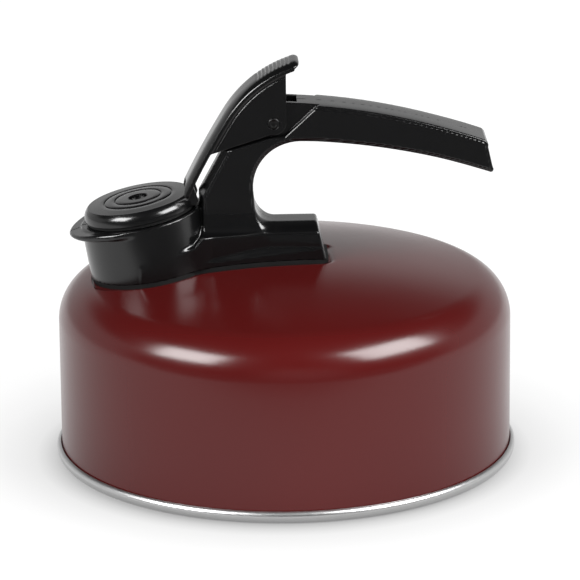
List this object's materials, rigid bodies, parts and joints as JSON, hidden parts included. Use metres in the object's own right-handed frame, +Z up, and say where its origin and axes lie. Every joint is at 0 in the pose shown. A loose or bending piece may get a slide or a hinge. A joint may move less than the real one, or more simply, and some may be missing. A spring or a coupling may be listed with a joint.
{
  "type": "stovetop whistling kettle",
  "caption": "Squat drum kettle with a capped spout: a sprung lever along the black handle tips the whistle lid open for filling and pouring.",
  "frame": {"origin": "centre of the base, on the surface that the kettle stands on", "axes": "+Z up; the spout is at -X and the free end of the handle at +X; the lid's hinge runs along Y"},
  "size_m": [0.195, 0.195, 0.1704],
  "materials": {
    "red_lacquer": "satin-gloss dark red lacquer on drawn steel, black skin inside",
    "brushed_base": "brushed rolled rim, plain underside",
    "sealant": "matt bead",
    "bare_metal": "drawn, bare",
    "silicone": "matt black silicone",
    "black_plastic": "fine-grained black phenolic moulding",
    "lever_plastic": "fine-grained black nylon moulding",
    "zinc_screws": "zinc-plated steel",
    "pin_metal": "blackened steel",
    "spring_wire": "bright spring wire",
    "whistle_metal": "pressed, bare"
  },
  "bodies": {
    "kettle": {"body_shell": "red_lacquer", "base_pan": "brushed_base", "base_seal": "sealant", "neck_tube": "bare_metal", "neck_gasket": "silicone", "housing_near_half": "black_plastic", "housing_far_half": "black_plastic", "housing_gasket": "silicone", "clamp_plate": "bare_metal", "sealing_washers": "silicone", "mounting_screws": "zinc_screws", "handle_screws": "zinc_screws", "torsion_spring": "spring_wire"},
    "lid": {"lid_lever": "lever_plastic", "hinge_pin": "pin_metal", "lid_seal": "silicone", "whistle_upper_disc": "whistle_metal", "whistle_spacer": "whistle_metal", "whistle_lower_disc": "whistle_metal", "whistle_cup": "lever_plastic"}
  },
  "joints": [
    {"name": "lid_hinge", "type": "hinge", "parent": "kettle", "child": "lid", "pos_m": [-0.0041, 0, 0.145], "axis": [0, 1, 0], "range_deg": [0, 48], "stiffness_Nm_per_rad": 0.2, "springref_deg": -20.05, "deforming": ["torsion_spring"]}
  ]
}
